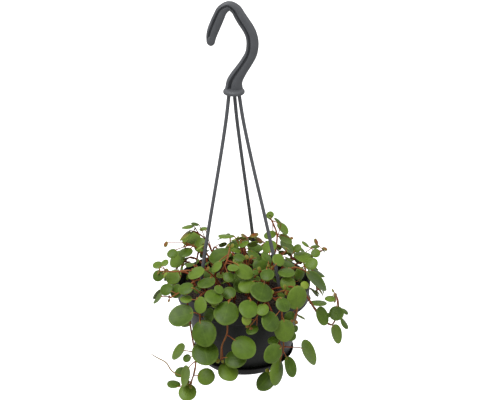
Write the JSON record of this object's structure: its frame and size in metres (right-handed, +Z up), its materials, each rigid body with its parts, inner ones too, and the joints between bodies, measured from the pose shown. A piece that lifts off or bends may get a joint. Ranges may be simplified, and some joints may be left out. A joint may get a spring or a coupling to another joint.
{
  "type": "potted trailing jade peperomia in a hanging pot",
  "caption": "Round-leaved trailing peperomia in a dark hanging nursery pot with a clip-on saucer and a one-piece moulded hanger with a hook.",
  "frame": {"origin": "seat of the hook: the highest point of the inner arch, where a rail carries it", "axes": "+Z up along the hanger, -Y towards the front, +X to the right as seen from the front"},
  "size_m": [0.1804, 0.1651, 0.3512],
  "materials": {
    "hanger_plastic": "dark grey moulded plastic",
    "pot_plastic": "anthracite moulded plastic with a soft sheen",
    "saucer_plastic": "black moulded plastic",
    "soil": "dark crumbly peat compost",
    "plant": "thick, softly shining green leaves on brownish red stems"
  },
  "bodies": {
    "root": {"hanger": "hanger_plastic", "pot": "pot_plastic", "saucer": "saucer_plastic", "soil": "soil", "stem_front_left": "plant", "stem_foot_left": "plant", "stem_front_middle": "plant", "stem_front_centre": "plant", "stem_front_right": "plant", "stem_low_right": "plant", "stem_wing_right": "plant", "stem_shoulder_right": "plant", "stem_upper_right": "plant", "stem_far_right": "plant", "stem_top_right": "plant", "stem_heart_left": "plant", "stem_heart_top": "plant", "stem_upper_left": "plant", "stem_top_left": "plant", "stem_wing_left": "plant", "stem_drop_left": "plant", "stem_front_left_top": "plant", "stem_heart_right": "plant", "stem_trailing_1": "plant", "stem_trailing_2": "plant", "stem_trailing_3": "plant", "stem_trailing_4": "plant", "stem_trailing_5": "plant", "stem_trailing_6": "plant", "stem_trailing_7": "plant", "stem_trailing_8": "plant", "stem_trailing_9": "plant", "stem_trailing_10": "plant", "stem_trailing_11": "plant", "stem_trailing_12": "plant", "stem_trailing_13": "plant", "stem_mound_1_1": "plant", "stem_mound_1_3": "plant", "stem_mound_2_1": "plant", "stem_mound_2_2": "plant", "stem_mound_2_3": "plant", "stem_mound_2_4": "plant", "stem_mound_2_5": "plant", "stem_mound_2_6": "plant", "stem_mound_2_7": "plant", "stem_mound_3_1": "plant", "stem_mound_3_3": "plant", "stem_mound_3_4": "plant", "stem_mound_3_5": "plant"}
  },
  "joints": []
}
